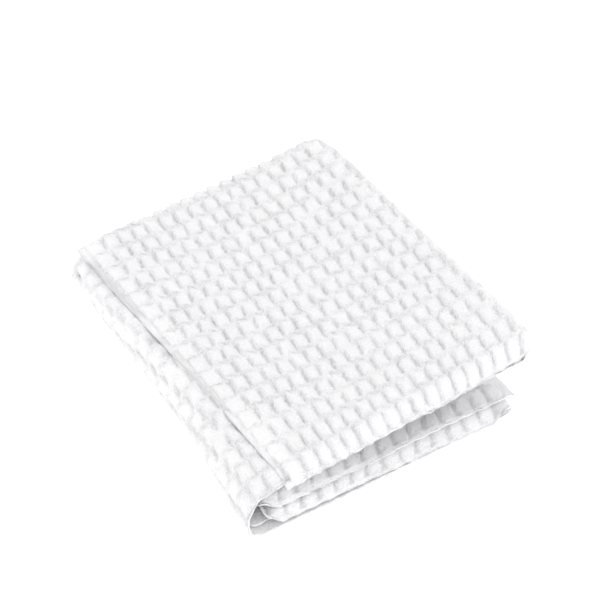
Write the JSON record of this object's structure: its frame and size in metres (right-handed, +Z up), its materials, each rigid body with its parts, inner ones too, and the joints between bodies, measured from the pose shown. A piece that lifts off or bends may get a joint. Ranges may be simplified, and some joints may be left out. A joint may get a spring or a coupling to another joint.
{
  "type": "folded hand towel",
  "caption": "White cotton hand towel with a puckered pebble weave and plain hems, doubled and folded to and fro into a flat stack.",
  "frame": {"origin": "centre of the stack's outline, on the surface that it rests on", "axes": "+X along the cloth's length, from the side of the flap's free end towards its bend; +Y from the open front edges towards the back fold; +Z up through the layers"},
  "size_m": [0.2167, 0.259, 0.0524],
  "materials": {
    "white_cotton": "matt woven cotton with a puckered relief"
  },
  "bodies": {
    "root": {"hand_towel": "white_cotton"}
  },
  "joints": []
}
